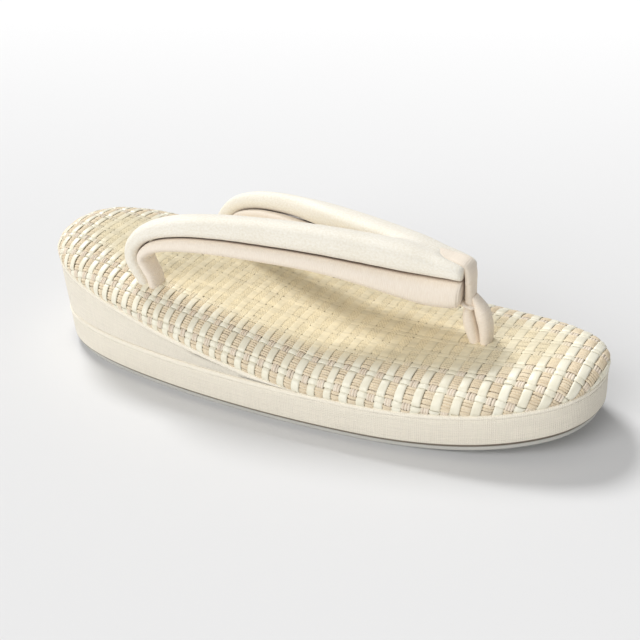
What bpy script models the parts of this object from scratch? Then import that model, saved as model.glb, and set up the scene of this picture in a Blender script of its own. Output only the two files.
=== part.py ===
"""A zori sandal: layered sole with a heel wedge, padded woven cover, V strap and toe post.

Metres, +X towards the toe, +Y to the wearer's left, +Z up, origin on the floor under the
middle of the sole. The sandal stands on its outsole.
"""
import math

import bmesh
import bpy
import numpy as np
from mathutils import Vector

# Sole: driving sizes
LENGTH = 0.240
BALL_WIDTH = 0.088
OUTSOLE_THICK = 0.0026
OUTSOLE_INSET = 0.0016
BASE_THICK = 0.0133
HEEL_RISE = 0.0248
HEEL_TUCK = 0.0024
TOE_SPRING = 0.0090
SPRING_START = 0.040
WEDGE_START = 0.018
WEDGE_CURVE = 1.14
WEDGE_NOSE = 0.0008
FOLD_RADIUS = 0.0008

# Woven cover: padded crown over the seam and the raised crosswise strips
COVER_CROWN = 0.0116
COVER_BULGE = 0.0006
STRIP_PITCH = 0.0074
STRIP_WIDTH = 0.0042
STRIP_RELIEF = 0.0005
STRIP_FLANK = 0.0007
END_SLACK = 0.8
END_ANGLES = (11.0, 6.0)

# Strap: the V from the toe post to the two rear holes
POST_X = 0.0705
REAR_HOLE_X = -0.0557
REAR_HOLE_STAGGER = 0.0058
REAR_HOLE_HALF_SPREAD = 0.0250
STRAP_HEIGHT = 0.0266
STRAP_HALF_THICK = 0.0075
UPPER_TUBE = 0.0120
LINING_TUBE = 0.0120
SOCKET_DEPTH = 0.0080

# The left strap has sunk, more the further out, and rolled outwards over its rear half
SINK_START = 0.42
SINK_RUN = 0.36
SINK_LEAN = -32.0
SINK_SLOPE = 0.29
SINK_FADE = 0.70

# Toe post: folded band over the strap's nose, tied, with two legs
POST_WIDTH = 0.0080
POST_THICK = 0.0030
POST_LEG_THICK = 0.0042
POST_TIE_HEIGHT = 0.0145

# Fit between pieces
CLEARANCE = 0.0003

# Plan outline: how full the half width is against a half ellipse, by angle from the heel tip
OUTLINE = (
    ("angle", "fullness"),
    (0.0, 1.500),
    (15.0, 1.410),
    (30.0, 1.250),
    (45.0, 1.124),
    (60.0, 1.045),
    (75.0, 1.009),
    (90.0, 1.000),
    (105.0, 1.012),
    (120.0, 1.048),
    (135.0, 1.113),
    (150.0, 1.200),
    (165.0, 1.333),
    (180.0, 1.400),
)

# Cover profile from the seam to the middle: shares of half the ball width and of the crown
COVER_PROFILE = (
    ("inset", "height"),
    (0.000, 0.17),
    (0.010, 0.38),
    (0.060, 0.58),
    (0.150, 0.74),
    (0.310, 0.88),
    (0.580, 0.97),
)

# Strap sections: run is a share of the way from the post to the rear hole, spread of the half
# spread, rise of the strap height over the cover, lean in degrees towards the middle, and the
# upper tube, lining tube and thickness are shares of their own named sizes
STRAP = (
    ("run", "spread", "rise", "lean", "upper", "lining", "thick"),
    (0.040, 0.100, 0.966, 4.0, 0.46, 0.84, 0.80),
    (0.052, 0.105, 0.966, 4.0, 0.54, 0.94, 0.92),
    (0.088, 0.125, 0.960, 5.0, 0.64, 1.00, 0.97),
    (0.150, 0.170, 0.950, 6.0, 0.76, 1.00, 1.00),
    (0.221, 0.245, 0.950, 8.0, 0.88, 0.88, 1.00),
    (0.353, 0.400, 0.975, 12.0, 0.92, 0.68, 0.92),
    (0.486, 0.545, 1.000, 14.0, 0.90, 0.57, 0.86),
    (0.624, 0.685, 1.000, 14.0, 0.86, 0.54, 0.82),
    (0.760, 0.815, 0.985, 12.0, 0.78, 0.52, 0.79),
    (0.880, 0.920, 0.925, 9.0, 0.70, 0.49, 0.76),
    (0.968, 0.985, 0.800, 6.0, 0.62, 0.43, 0.73),
    (1.016, 1.010, 0.620, 3.0, 0.55, 0.38, 0.70),
    (1.030, 1.015, 0.450, 1.0, 0.50, 0.36, 0.67),
    (1.020, 1.008, 0.290, 0.0, 0.46, 0.36, 0.64),
    (1.006, 1.000, 0.140, 0.0, 0.44, 0.36, 0.61),
    (1.000, 1.000, 0.000, 0.0, 0.43, 0.36, 0.60),
    (1.000, 1.000, -0.110, 0.0, 0.43, 0.36, 0.60),
)

# Toe post over the nose: run as in the strap's table, then shares of the post's sizes
POST_OVER = (
    ("run", "wide", "thick"),
    (0.112, 0.90, 0.45),
    (0.092, 1.02, 0.65),
    (0.068, 1.08, 0.85),
)

# Toe post down the strap's front end: fall is a share of the way from the nose to the tie
POST_DOWN = (
    ("fall", "wide", "thick"),
    (0.060, 1.08, 1.00),
    (0.200, 1.04, 1.00),
    (0.420, 1.00, 1.00),
    (0.640, 0.94, 1.00),
    (0.820, 0.86, 1.05),
    (0.940, 0.76, 1.15),
    (1.000, 0.72, 1.25),
)

CREAM = (0.905, 0.870, 0.765)
IVORY = (0.830, 0.765, 0.640)
ROSE = (0.865, 0.765, 0.660)
STRAW = (0.720, 0.620, 0.420)
RUBBER = (0.560, 0.550, 0.480)

RING_STATIONS = 30
STRAP_SECTIONS = 32
TUBE_POINTS = 14
TUBE_SQUARENESS = 0.75
POST_SECTIONS = 20


def column(table, name):
    """One named column of a table as an array."""
    index = table[0].index(name)
    return np.array([row[index] for row in table[1:]])


def smooth(keys, values, at, level_ends=False):
    """Cubic curve through the values, with the slope at each key from its neighbours."""
    keys = np.asarray(keys, float)
    values = np.asarray(values, float)
    slopes = np.gradient(values, keys)
    if level_ends:
        slopes[[0, -1]] = 0.0
    at = np.clip(at, keys[0], keys[-1])
    i = np.clip(np.searchsorted(keys, at, side="right") - 1, 0, len(keys) - 2)
    width = keys[i + 1] - keys[i]
    t = (at - keys[i]) / width
    first = (2 * t ** 3 - 3 * t ** 2 + 1) * values[i] + (t ** 3 - 2 * t ** 2 + t) * width * slopes[i]
    second = (3 * t ** 2 - 2 * t ** 3) * values[i + 1] + (t ** 3 - t ** 2) * width * slopes[i + 1]
    return first + second


def half_width(angle):
    """Half width of the plan outline at an angle from the heel tip, in radians."""
    keys = np.radians(column(OUTLINE, "angle"))
    fullness = smooth(keys, column(OUTLINE, "fullness"), angle, level_ends=True)
    return BALL_WIDTH / 2 * fullness * np.sin(angle)


def spring(x):
    """How far the toe is lifted off the floor."""
    share = np.clip((x - SPRING_START) / (LENGTH / 2 - SPRING_START), 0, None)
    return TOE_SPRING * share ** 2


def rise(x):
    """Height of the cover's seat over the base layer, which the wedge fills."""
    share = np.clip((WEDGE_START - x) / (WEDGE_START + LENGTH / 2), 0, None)
    return HEEL_RISE * share ** WEDGE_CURVE


def base_floor(x):
    return spring(x) + OUTSOLE_THICK + CLEARANCE


def base_top(x):
    return base_floor(x) + BASE_THICK


def cover_floor(x):
    return base_top(x) + rise(x) + CLEARANCE


def cover_crown(x):
    """Top of the cover along its middle."""
    return cover_floor(x) + COVER_CROWN


def cover_height(x, y):
    """Top of the plain cover at a plan place, from its profile table."""
    angle = math.acos(max(-1.0, min(1.0, -x / (LENGTH / 2))))
    inset = max(0.0, 1 - abs(y) / max(float(half_width(angle)), 1e-6))
    insets = np.append(column(COVER_PROFILE, "inset"), 1.0)
    heights = np.append(column(COVER_PROFILE, "height"), 1.0)
    return float(cover_floor(x)) + COVER_CROWN * float(np.interp(inset, insets, heights))


def straight_angles(angles, inset):
    """Angles of an inset loop that keep each station's x, but for those near the ends.

    The last stations draw together by no more than END_SLACK of their spacing.
    """
    if inset <= 0:
        return angles
    share = -np.cos(angles)
    lost = inset / (LENGTH / 2)
    gather = END_SLACK / lost - 1
    kept = share * (1 - lost * np.abs(share) ** gather)
    return np.arccos(np.clip(-kept / (1 - lost), -1, 1))


def ring(angles, inset, height, depth=0.0):
    """Closed loop round the outline: right side heel to toe, then back along the left side.

    inset draws the loop in from the outline, height gives z from x, and depth, from 0 at the
    seam to 1 at the floor, tucks the heel's back in.
    """
    x = -(LENGTH / 2 - inset) * np.cos(angles)
    x = x + HEEL_TUCK * depth * np.clip(np.cos(angles), 0, 1) ** 2
    y = half_width(angles) * (1 - inset / (BALL_WIDTH / 2))
    z = height(x)
    right = [Vector((a, -b, c)) for a, b, c in zip(x, y, z)]
    left = [Vector((a, b, c)) for a, b, c in zip(x, y, z)]
    closed_toe = y[-1] < 1e-6
    back = left[1:-1] if closed_toe else left[1:]
    return right + back[::-1]


def strip_cap(bm, verts, count, flip):
    """Closes a loop with strips between its right and left points of the same station."""
    total = len(verts)
    right = verts[:count]
    left = [verts[0]] + verts[count:][::-1]
    if total == 2 * count - 2:
        left.append(verts[count - 1])
    for i in range(count - 1):
        face = []
        for v in (right[i], right[i + 1], left[i + 1], left[i]):
            if v not in face:
                face.append(v)
        bm.faces.new(face[::-1] if flip else face)


def new_object(name, bm, collection):
    mesh = bpy.data.meshes.new(name)
    bmesh.ops.recalc_face_normals(bm, faces=bm.faces)
    bm.to_mesh(mesh)
    bm.free()
    mesh.shade_smooth()
    mesh.set_sharp_from_angle(angle=math.radians(40))
    obj = bpy.data.objects.new(name, mesh)
    collection.objects.link(obj)
    return obj


def loft_rings(name, loops, count, collection):
    """Solid between the first and last loop, with both ends closed by strips."""
    bm = bmesh.new()
    rows = [[bm.verts.new(p) for p in loop] for loop in loops]
    for low, high in zip(rows, rows[1:]):
        for i in range(len(low)):
            j = (i + 1) % len(low)
            bm.faces.new((low[i], low[j], high[j], high[i]))
    strip_cap(bm, rows[0], count, True)
    strip_cap(bm, rows[-1], count, False)
    return new_object(name, bm, collection)


def join_rows(bm, rows):
    """Skins closed sections of equal count and closes both ends."""
    for first, second in zip(rows, rows[1:]):
        for i in range(len(first)):
            j = (i + 1) % len(first)
            bm.faces.new((first[i], first[j], second[j], second[i]))
    bm.faces.new(rows[0][::-1])
    bm.faces.new(rows[-1])


def loft_tube(name, sections, collection):
    """Solid through closed sections of equal count."""
    bm = bmesh.new()
    join_rows(bm, [[bm.verts.new(p) for p in section] for section in sections])
    return new_object(name, bm, collection)


def paint(obj, name, colour, roughness):
    """Gives the object a Principled material of its own."""
    material = bpy.data.materials.new(name)
    material.use_nodes = True
    shader = material.node_tree.nodes["Principled BSDF"]
    shader.inputs["Base Color"].default_value = (*colour, 1.0)
    shader.inputs["Roughness"].default_value = roughness
    shader.inputs["Metallic"].default_value = 0.0
    obj.data.materials.clear()
    obj.data.materials.append(material)


def boolean(obj, other, operation):
    modifier = obj.modifiers.new(other.name, "BOOLEAN")
    modifier.operation = operation
    modifier.solver = "EXACT"
    modifier.object = other


def apply_modifiers(obj):
    """Replaces the mesh by its evaluated form."""
    graph = bpy.context.evaluated_depsgraph_get()
    mesh = bpy.data.meshes.new_from_object(obj.evaluated_get(graph))
    obj.modifiers.clear()
    obj.data = mesh


def union(obj, other):
    """Joins a second solid into the first and removes the second."""
    boolean(obj, other, "UNION")
    bpy.context.view_layer.update()
    apply_modifiers(obj)
    bpy.data.objects.remove(other)


def as_cutter(obj):
    obj.hide_render = True
    obj.display_type = "WIRE"
    return obj


def layer_loops(angles, floor, top, drop_low, drop_high):
    """Loops of a fabric-wrapped layer: a wall with a folded edge above and below."""
    def at(share, lift):
        return lambda x: floor(x) + share * (top(x) - floor(x)) + lift
    return [
        ring(angles, FOLD_RADIUS, at(0.0, 0.0), drop_low),
        ring(angles, 0.0, at(0.0, FOLD_RADIUS * 0.5), drop_low),
        ring(angles, 0.0, at(1.0, -FOLD_RADIUS * 0.9), drop_high),
        ring(angles, FOLD_RADIUS * 0.35, at(1.0, -FOLD_RADIUS * 0.3), drop_high),
        ring(angles, FOLD_RADIUS * 1.3, at(1.0, 0.0), drop_high),
    ]


def build_outsole(collection):
    """Thin rubber sheet, set in from the base layer's edge."""
    angles = np.linspace(0, math.pi, RING_STATIONS)
    inset = OUTSOLE_INSET
    loops = [
        ring(angles, inset + OUTSOLE_THICK * 0.3, spring, 1.0),
        ring(angles, inset, lambda x: spring(x) + OUTSOLE_THICK * 0.25, 1.0),
        ring(angles, inset, lambda x: spring(x) + OUTSOLE_THICK, 1.0),
    ]
    obj = loft_rings("outsole", loops, RING_STATIONS, collection)
    paint(obj, "outsole rubber", RUBBER, 0.75)
    return obj


def build_base(collection):
    """Full-length layer, wrapped in fabric."""
    angles = np.linspace(0, math.pi, RING_STATIONS)
    heel_share = BASE_THICK / (BASE_THICK + HEEL_RISE)
    loops = layer_loops(angles, base_floor, base_top, 1.0, 1.0 - heel_share)
    obj = loft_rings("base_layer", loops, RING_STATIONS, collection)
    paint(obj, "base fabric", IVORY, 0.85)
    return obj


def wedge_nose_angle():
    """Angle of the station where the wedge thins to its nose."""
    share = ((WEDGE_NOSE + CLEARANCE) / HEEL_RISE) ** (1 / WEDGE_CURVE)
    nose_x = WEDGE_START - share * (WEDGE_START + LENGTH / 2)
    return math.acos(-nose_x / (LENGTH / 2))


def build_wedge(collection):
    """Heel wedge on the base layer, thinning to a nose near mid-length."""
    count = RING_STATIONS * 2 // 3
    angles = np.linspace(0, wedge_nose_angle(), count)
    heel_share = BASE_THICK / (BASE_THICK + HEEL_RISE)

    def floor(x):
        return base_top(x) + CLEARANCE

    def top(x):
        return base_top(x) + rise(x)

    fold = WEDGE_NOSE * 0.3
    loops = [
        ring(angles, fold * 2, floor, 1.0 - heel_share),
        ring(angles, 0.0, lambda x: floor(x) + fold, 1.0 - heel_share),
        ring(angles, 0.0, lambda x: top(x) - fold, 0.0),
        ring(angles, fold * 3, top, 0.0),
    ]
    obj = loft_rings("heel_wedge", loops, count, collection)
    paint(obj, "wedge fabric", IVORY, 0.85)
    return obj


def strip_stations():
    """Stations of the cover in x: four for each raised crosswise strip."""
    flat = STRIP_WIDTH / 2 - STRIP_FLANK
    reach = int((LENGTH / 2 - STRIP_PITCH) / STRIP_PITCH)
    places = []
    raised = []
    for number in range(-reach, reach + 1):
        centre = number * STRIP_PITCH
        places += [centre - STRIP_WIDTH / 2, centre - flat, centre + flat, centre + STRIP_WIDTH / 2]
        raised += [0.0, 1.0, 1.0, 0.0]
    last = places[-1]
    for angle in np.radians(END_ANGLES):
        x = LENGTH / 2 * math.cos(angle)
        if x > last + STRIP_FLANK:
            places.append(x)
            places.insert(0, -x)
            raised.append(0.0)
            raised.insert(0, 0.0)
            last = x
    angles = np.arccos(-np.array(places) / (LENGTH / 2))
    angles = np.concatenate([[0.0], angles, [math.pi]])
    return angles, np.concatenate([[0.0], raised, [0.0]])


def build_cover(collection):
    """Padded cover of woven straw: a crowned shell with raised crosswise strips."""
    angles, raised = strip_stations()
    count = len(angles)
    loops = [
        ring(angles, FOLD_RADIUS, cover_floor, 0.0),
        ring(angles, 0.0, lambda x: cover_floor(x) + FOLD_RADIUS * 0.5, 0.0),
    ]
    mirrored = np.concatenate([raised, raised[1:-1][::-1]])
    for inset, height in COVER_PROFILE[1:]:
        depth = inset * BALL_WIDTH / 2
        bulge = -COVER_BULGE if inset == 0.0 else 0.0
        lift = COVER_CROWN * height
        inner = straight_angles(angles, depth)
        loop = ring(inner, depth + bulge, lambda x: cover_floor(x) + lift, 0.0)
        relief = STRIP_RELIEF if height > COVER_PROFILE[1][1] else 0.0
        loops.append([p + Vector((0, 0, relief * r)) for p, r in zip(loop, mirrored)])
    obj = loft_rings("top_cover", loops, count, collection)
    paint(obj, "woven straw", STRAW, 0.80)
    return obj


def strap_line(run):
    """Height of the straight line from the front hole's rim to the rear holes' rims."""
    front_z = float(cover_crown(POST_X))
    rear_z = cover_height(REAR_HOLE_X, REAR_HOLE_HALF_SPREAD)
    return front_z + run * (rear_z - front_z)


def roll(run):
    """How far the left strap has rolled at a run: 0 by the nose, 1 over the rear."""
    share = np.clip((run - SINK_START) / SINK_RUN, 0, 1)
    return share * share * (3 - 2 * share)


def strap_frame(side):
    """Places, up vectors and sizes of the strap's sections on one side."""
    run = column(STRAP, "run")
    keys = np.arange(len(run), dtype=float)
    at = np.linspace(0, keys[-1], STRAP_SECTIONS)
    run_at = smooth(keys, run, at)
    shift = side * REAR_HOLE_STAGGER * np.clip(2 * run_at - 1, 0, 1)
    x = POST_X - run_at * (POST_X - REAR_HOLE_X) + shift
    y = side * smooth(keys, column(STRAP, "spread"), at) * REAR_HOLE_HALF_SPREAD
    rise_at = smooth(keys, column(STRAP, "rise"), at)
    rolled = roll(run_at) * np.clip(rise_at, 0, 1) if side > 0 else np.zeros_like(run_at)
    z = strap_line(run_at) + rise_at * STRAP_HEIGHT
    places = [Vector(p) for p in zip(x, y, z)]
    lean = np.radians(smooth(keys, column(STRAP, "lean"), at) + SINK_LEAN * rolled)
    sizes = {name: smooth(keys, column(STRAP, name), at) for name in ("upper", "lining", "thick")}
    frames = []
    last = len(places) - 1
    for i, place in enumerate(places):
        middle = min(max(i, 2), last - 1)
        along = (places[middle + 1] - places[middle - 1]).normalized()
        side_axis = Vector((0, side, 0))
        side_axis = (side_axis - along * side_axis.dot(along)).normalized()
        up = (side_axis.cross(along) * side).normalized()
        turned_up = (up * math.cos(lean[i]) - side_axis * math.sin(lean[i])).normalized()
        turned_side = (side_axis * math.cos(lean[i]) + up * math.sin(lean[i])).normalized()
        frames.append((place, turned_up, turned_side))
    return frames, sizes


def tube_section(place, up, side_axis, height, half_thick, sign):
    """Soft oval above (sign 1) or below (sign -1) the seam line, flattened at the seam."""
    points = []
    for k in range(TUBE_POINTS):
        angle = 2 * math.pi * (k + 0.5) / TUBE_POINTS
        c, s = math.cos(angle), math.sin(angle)
        across = math.copysign(abs(c) ** TUBE_SQUARENESS, c) * half_thick
        rise_share = 0.5 + 0.5 * math.copysign(abs(s) ** TUBE_SQUARENESS, s)
        offset = sign * (CLEARANCE / 2 + rise_share * height)
        points.append(place + side_axis * across + up * offset)
    return points


def strap_half(part, full, sign, side):
    """Tube of one side, cut off at the middle plane and left open there."""
    frames, sizes = strap_frame(side)
    bm = bmesh.new()
    rows = []
    for i, (place, up, side_axis) in enumerate(frames):
        height = full * sizes[part][i]
        half = STRAP_HALF_THICK * sizes["thick"][i]
        section = tube_section(place, up, side_axis, height, half, sign)
        rows.append([bm.verts.new(p) for p in section])
    join_rows(bm, rows)
    geometry = bm.verts[:] + bm.edges[:] + bm.faces[:]
    bmesh.ops.bisect_plane(bm, geom=geometry, dist=1e-6, plane_co=(0, 0, 0),
                           plane_no=(0, side, 0), clear_inner=True)
    for v in bm.verts:
        if v.co.y > 1e-6:
            run = (POST_X - v.co.x) / (POST_X - REAR_HOLE_X)
            share = (v.co.z - strap_line(run)) / (STRAP_HEIGHT * SINK_FADE)
            v.co.z -= SINK_SLOPE * v.co.y * min(max(share, 0.0), 1.0)
    mesh = bpy.data.meshes.new(part)
    bm.to_mesh(mesh)
    bm.free()
    return mesh


def build_strap(name, part, full, sign, collection):
    """One V-shaped tube: the two sides meet in the middle plane at the nose."""
    bm = bmesh.new()
    for side in (-1, 1):
        mesh = strap_half(part, full, sign, side)
        bm.from_mesh(mesh)
        bpy.data.meshes.remove(mesh)
    bmesh.ops.remove_doubles(bm, verts=bm.verts, dist=2e-6)
    return new_object(name, bm, collection)


def strap_top(run):
    """Seam place and upper height of the strap, in x and z, at a run near its nose."""
    keys = column(STRAP, "run")
    seam = strap_line(np.array([run])) + np.interp(run, keys, column(STRAP, "rise")) * STRAP_HEIGHT
    height = np.interp(run, keys, column(STRAP, "upper")) * UPPER_TUBE
    return POST_X - run * (POST_X - REAR_HOLE_X), float(seam[0]) + CLEARANCE / 2 + float(height)


def post_frame():
    """Centre line of the band over the nose and down to the tie, with its sizes."""
    away = CLEARANCE * 2 + POST_THICK / 2
    rows = []
    for run, wide, thick in POST_OVER[1:]:
        x, z = strap_top(run)
        rows.append((x, z + away, wide, thick))
    nose_x, nose_z = strap_top(column(STRAP, "run")[0])
    rows.append((nose_x + away * 0.35, nose_z + away * 0.95, 1.08, 1.0))
    tie_z = float(cover_crown(POST_X)) + POST_TIE_HEIGHT
    for fall, wide, thick in POST_DOWN[1:]:
        rows.append((nose_x + away * 1.10, nose_z + fall * (tie_z - nose_z), wide, thick))
    rows = np.array(rows)
    keys = np.arange(len(rows), dtype=float)
    at = np.linspace(0, keys[-1], POST_SECTIONS)
    x, z, wide, thick = (smooth(keys, rows[:, k], at) for k in range(4))
    return x, z, wide * POST_WIDTH, thick * POST_THICK


def band_sections(x, z, wide, thick):
    """Rounded flat sections square to a centre line in the middle plane."""
    sections = []
    for i in range(len(x)):
        a = max(i - 1, 0)
        b = min(i + 1, len(x) - 1)
        along = Vector((x[b] - x[a], 0, z[b] - z[a])).normalized()
        normal = Vector((-along.z, 0, along.x))
        points = []
        for k in range(12):
            angle = 2 * math.pi * (k + 0.5) / 12
            c, s = math.cos(angle), math.sin(angle)
            across = math.copysign(abs(c) ** 0.6, c) * wide[i] / 2
            out = math.copysign(abs(s) ** 0.8, s) * thick[i] / 2
            points.append(Vector((x[i], across, z[i])) + normal * out)
        sections.append(points)
    return sections


def post_leg(name, x_tie, x_foot, z_tie, z_end, collection):
    """One leaf-shaped leg from the tie down into the front hole."""
    share = np.linspace(0, 1, 9)
    z = z_tie + (z_end - z_tie) * share
    surface = float(cover_crown(POST_X))
    lean = np.clip((z_tie - z) / (z_tie - surface), 0, 1)
    x = x_tie + (x_foot - x_tie) * np.sin(lean * math.pi / 2)
    wide = POST_WIDTH * (0.78 + 0.14 * np.sin(lean * math.pi))
    thick = POST_LEG_THICK * (0.80 + 0.20 * np.sin(lean * math.pi / 2))
    return loft_tube(name, band_sections(x, z, wide, thick), collection)


def build_post(collection):
    """Folded band over the nose, drawn in at the tie, with two legs into the front hole."""
    x, z, wide, thick = post_frame()
    obj = loft_tube("toe_post", band_sections(x, z, wide, thick), collection)
    surface = float(cover_crown(POST_X))
    z_tie = float(z[-1]) + POST_THICK / 3
    z_end = surface - SOCKET_DEPTH
    half = POST_LEG_THICK / 2
    legs = (
        ("toe_post_back", x[-1] - half * 0.10, POST_X - half * 1.10),
        ("toe_post_front", x[-1] + half * 0.35, POST_X + half * 1.10),
    )
    for name, x_tie, x_foot in legs:
        union(obj, post_leg(name, float(x_tie), x_foot, z_tie, z_end, collection))
    paint(obj, "post fabric", ROSE, 0.80)
    return obj


def oval_cutter(name, x, y, half_x, half_y, z_low, z_high, collection):
    """Upright oval pin that cuts a hole or a socket."""
    bm = bmesh.new()
    bmesh.ops.create_cone(bm, cap_ends=True, segments=20, radius1=1, radius2=1, depth=1)
    for v in bm.verts:
        v.co.x = math.copysign(abs(v.co.x) ** TUBE_SQUARENESS, v.co.x)
        v.co.y = math.copysign(abs(v.co.y) ** TUBE_SQUARENESS, v.co.y)
    bmesh.ops.scale(bm, verts=bm.verts, vec=(half_x, half_y, z_high - z_low))
    bmesh.ops.translate(bm, verts=bm.verts, vec=(x, y, (z_low + z_high) / 2))
    return as_cutter(new_object(name, bm, collection))


def hole_cutters(collection):
    """Cutters for the front hole and the two rear holes, sized to what passes through."""
    cutters = []
    surface = float(cover_crown(POST_X))
    half_x = POST_LEG_THICK * 1.05 + CLEARANCE * 3
    half_y = POST_WIDTH / 2 + CLEARANCE * 3
    low = surface - SOCKET_DEPTH - CLEARANCE
    high = surface + COVER_CROWN
    cutters.append(oval_cutter("front_hole", POST_X, 0.0, half_x, half_y, low, high, collection))
    foot_upper = UPPER_TUBE * column(STRAP, "upper")[-1]
    foot_lining = LINING_TUBE * column(STRAP, "lining")[-1]
    foot_thick = STRAP_HALF_THICK * column(STRAP, "thick")[-1]
    bottom = column(STRAP, "rise")[-1] * STRAP_HEIGHT
    surface = cover_height(REAR_HOLE_X, REAR_HOLE_HALF_SPREAD)
    for side, name in ((-1, "right_hole"), (1, "left_hole")):
        x = REAR_HOLE_X + side * REAR_HOLE_STAGGER
        centre = x + (foot_lining - foot_upper) / 2
        half_x = (foot_lining + foot_upper) / 2 + CLEARANCE * 4
        low = surface + bottom - CLEARANCE
        high = surface + COVER_CROWN
        place_y = side * REAR_HOLE_HALF_SPREAD
        cutters.append(oval_cutter(name, centre, place_y, half_x, foot_thick + CLEARANCE * 4,
                                   low, high, collection))
    return cutters


def clear_scene():
    for obj in list(bpy.data.objects):
        bpy.data.objects.remove(obj)


def main():
    clear_scene()
    sandal = bpy.data.collections.new("zori_sandal")
    cutters = bpy.data.collections.new("cutters")
    bpy.context.scene.collection.children.link(sandal)
    bpy.context.scene.collection.children.link(cutters)
    build_outsole(sandal)
    base = build_base(sandal)
    wedge = build_wedge(sandal)
    cover = build_cover(sandal)
    front, right, left = hole_cutters(cutters)
    for layer in (base, wedge, cover):
        for cutter in (front, right, left):
            if layer is wedge and cutter is front:
                continue
            if layer is base and cutter is not front:
                continue
            boolean(layer, cutter, "DIFFERENCE")
    strap = build_strap("strap_upper", "upper", UPPER_TUBE, 1, sandal)
    paint(strap, "strap fabric", CREAM, 0.70)
    lining = build_strap("strap_lining", "lining", LINING_TUBE, -1, sandal)
    paint(lining, "lining fabric", ROSE, 0.80)
    build_post(sandal)


main()
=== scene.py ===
"""Looks of one zori sandal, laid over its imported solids.

Metres, +X towards the toe, +Y to the wearer's left, +Z up, origin on the floor.
"""
import math

import bmesh
import bpy
import numpy as np
from mathutils import Matrix, Vector
from mathutils.bvhtree import BVHTree


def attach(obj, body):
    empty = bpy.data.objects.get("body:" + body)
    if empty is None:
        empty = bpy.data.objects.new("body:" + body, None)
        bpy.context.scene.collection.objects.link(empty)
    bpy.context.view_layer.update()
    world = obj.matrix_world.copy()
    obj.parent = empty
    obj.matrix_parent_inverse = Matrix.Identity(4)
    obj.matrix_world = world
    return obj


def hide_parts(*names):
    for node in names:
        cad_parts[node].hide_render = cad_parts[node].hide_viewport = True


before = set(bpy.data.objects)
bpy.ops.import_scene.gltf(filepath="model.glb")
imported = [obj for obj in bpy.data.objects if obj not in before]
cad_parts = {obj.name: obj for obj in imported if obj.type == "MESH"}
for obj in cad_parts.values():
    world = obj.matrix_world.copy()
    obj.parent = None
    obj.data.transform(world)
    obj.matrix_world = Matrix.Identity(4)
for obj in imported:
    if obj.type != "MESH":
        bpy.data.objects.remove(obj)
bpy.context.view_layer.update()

MM = 0.001
rng = np.random.default_rng(7)

# Camera: place and focal length in millimetres, fitted to the photograph
EYE = (219.7, -385.8, 269.5)
AIM = (3.0, -2.5, 24.0)
ROLL = -3.1
FOCAL = 70.0

# Sole
LENGTH = 0.240
BALL_WIDTH = 0.088
OUTSOLE_THICK = 0.0026
OUTSOLE_INSET = 0.0016
BASE_THICK = 0.0133
HEEL_RISE = 0.0248
HEEL_TUCK = 0.0024
TOE_SPRING = 0.0090
SPRING_START = 0.040
WEDGE_START = 0.018
WEDGE_CURVE = 1.14
CLEARANCE = 0.0003
WEDGE_NOSE = 0.0035
FOLD_ROOM = 0.0030
WALL_STATIONS = 150

# Strap and post
POST_X = 0.0705
REAR_HOLE_X = -0.0557
REAR_HOLE_STAGGER = 0.0058
REAR_HOLE_HALF_SPREAD = 0.0250
STRAP_HEIGHT = 0.0266
STRAP_HALF_THICK = 0.0075
UPPER_TUBE = 0.0120
LINING_TUBE = 0.0120
POST_TIE_HEIGHT = 0.0145
COVER_CROWN = 0.0116
NOSE_DENT = 2.2

# The left strap has sunk, more the further out, and rolled outwards over its rear half
SINK_START = 0.42
SINK_RUN = 0.36
SINK_LEAN = -32.0
SINK_SLOPE = 0.29
SINK_FADE = 0.70

# Plan outline: angle from the heel tip, and fullness against a half ellipse
OUTLINE = (
    (0.0, 1.500), (15.0, 1.410), (30.0, 1.250), (45.0, 1.124), (60.0, 1.045), (75.0, 1.009),
    (90.0, 1.000), (105.0, 1.012), (120.0, 1.048), (135.0, 1.113), (150.0, 1.200),
    (165.0, 1.333), (180.0, 1.400),
)

# Cover profile from the seam inwards: distance in from the edge and height over the seam, in mm
COVER_PROFILE = (
    (1.2, -0.5), (0.65, 0.1), (0.20, 0.8), (0.05, 1.7), (0.30, 2.8), (0.95, 3.9), (1.90, 5.0),
    (3.20, 6.15), (7.0, 8.0), (13.8, 9.6), (25.6, 10.7), (44.0, 11.05),
)

# Weave, in mm: lengthwise pitch, bundle, strip and yarn, and how far they wave up and down.
# The shares are of the pitch of the crosswise ribbons.
PITCH_Y = 9.5
BUNDLE = 6.5
STRIP = 2.2
YARN_Y = 1.06
WAVE = 0.34
RIBBON_SHARE = 0.48
YARN_SHARE = 0.135
YARNS = 6
CROSS_YARNS = 3
SEAM_MARGIN = 0.05
BACKING_DEPTH = 0.30

# Trodden middle of the weave, pressed flat and without the painted sheen of the rim, in mm: where it starts
# from the rim, and where the toe end keeps more relief and painted sheen
TREAD_START = 16.0
TREAD_FADE = 11.0
TOE_START = 42.0
TOE_FADE = 34.0
TOE_RELIEF_AND_SHEEN = 0.2
PRESSED = 0.86
PRESSED_LEVEL = 0.2

# Light and floor
WORLD_LIGHT = 0.34
SUNS = (
    ("key", (-0.70, 0.50, 1.00), 16.0, 1.95),
    ("fill", (-0.30, -1.00, 0.70), 50.0, 1.65),
)
FLOOR_REACH = 40.0
FLOOR_DROP = 0.0001
# The floor is painted darker near and brighter away: painted light, the fall of light across the backdrop.
FLOOR_NEAR = (0.750, 0.750, 0.752)
FLOOR_AWAY = (0.925, 0.925, 0.925)

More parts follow.
